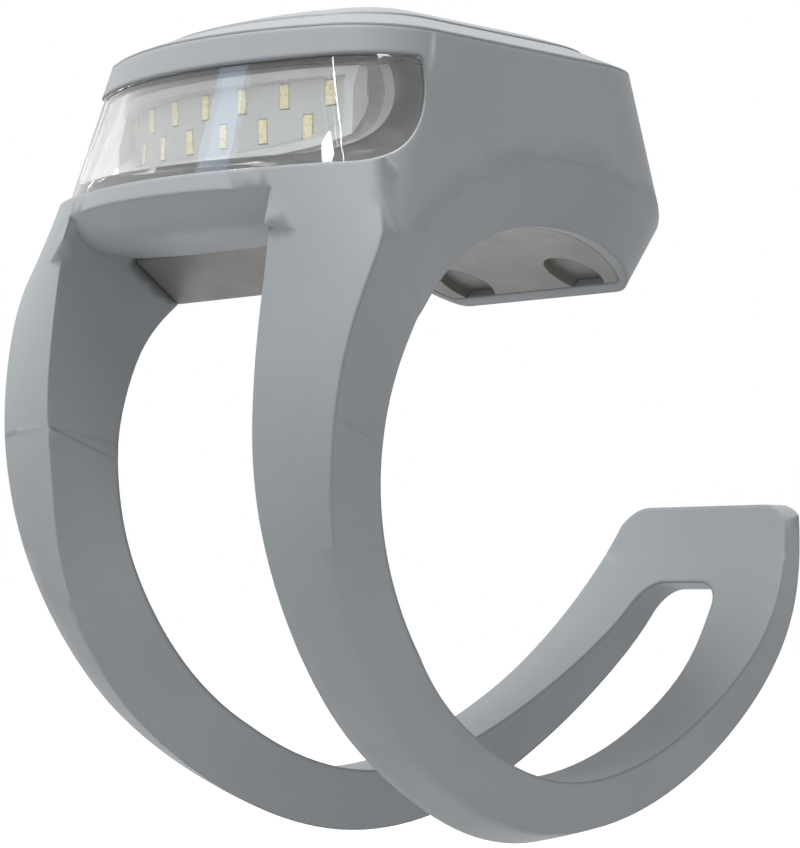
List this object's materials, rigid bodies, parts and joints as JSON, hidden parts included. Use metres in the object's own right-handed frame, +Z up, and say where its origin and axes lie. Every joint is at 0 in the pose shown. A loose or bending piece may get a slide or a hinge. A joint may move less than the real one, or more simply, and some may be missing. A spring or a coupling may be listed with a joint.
{
  "type": "bicycle light",
  "caption": "Small rechargeable bicycle light in a silicone sleeve whose slotted band hooks round the handlebar; curved clear lens and a press-to-switch dome on top.",
  "frame": {"origin": "on the axis of the handlebar, midway across the light", "axes": "+X along the handlebar, -Y where the light shines, +Z up towards the button"},
  "size_m": [0.029, 0.0366, 0.0398],
  "materials": {
    "silicone": "matte grey silicone",
    "shell": "fine matt moulded plastic",
    "lens": "clear polished plastic",
    "seal": "soft black rubber",
    "tray": "smooth light plastic",
    "light_board": "white coated circuit board",
    "lamps": "phosphor behind clear resin",
    "ribbon": "smooth film",
    "circuit_board": "green coated circuit board",
    "chips": "black moulded resin",
    "capacitors": "plain ceramic",
    "switch_body": "thin plated sheet",
    "stem": "moulded plastic",
    "plunger": "moulded plastic",
    "cell": "soft foil pouch",
    "pad": "foam sheet",
    "leads": "wire sleeve",
    "socket": "plated steel",
    "tongue": "black moulded plastic",
    "screws": "plain steel"
  },
  "bodies": {
    "light": {"silicone_sleeve": "silicone", "module_base": "shell", "module_cover": "shell", "lens": "lens", "lens_gasket": "seal", "shell_seal": "seal", "reflector_tray": "tray", "led_board": "light_board", "leds": "lamps", "led_ribbon": "ribbon", "main_board": "circuit_board", "driver_chip": "chips", "charge_chip": "chips", "power_coil": "chips", "capacitors": "capacitors", "tact_switch": "switch_body", "battery_cell": "cell", "battery_pad": "pad", "battery_leads": "leads", "charge_socket": "socket", "socket_tongue": "tongue", "board_screws": "screws"},
    "button": {"press_dome": "silicone", "button_plunger": "plunger", "switch_stem": "stem"},
    "band": {"hook_band": "silicone"}
  },
  "joints": [
    {"name": "button_press", "type": "slide", "parent": "light", "child": "button", "axis": [0, 0, -1], "range_m": [0, 0.00035], "stiffness_N_per_m": 400},
    {"name": "band_flex", "type": "hinge", "parent": "light", "child": "band", "pos_m": [0, -0.01635, 0.00348], "axis": [1, 0, 0], "range_deg": [-35, 10], "stiffness_Nm_per_rad": 0.04}
  ]
}
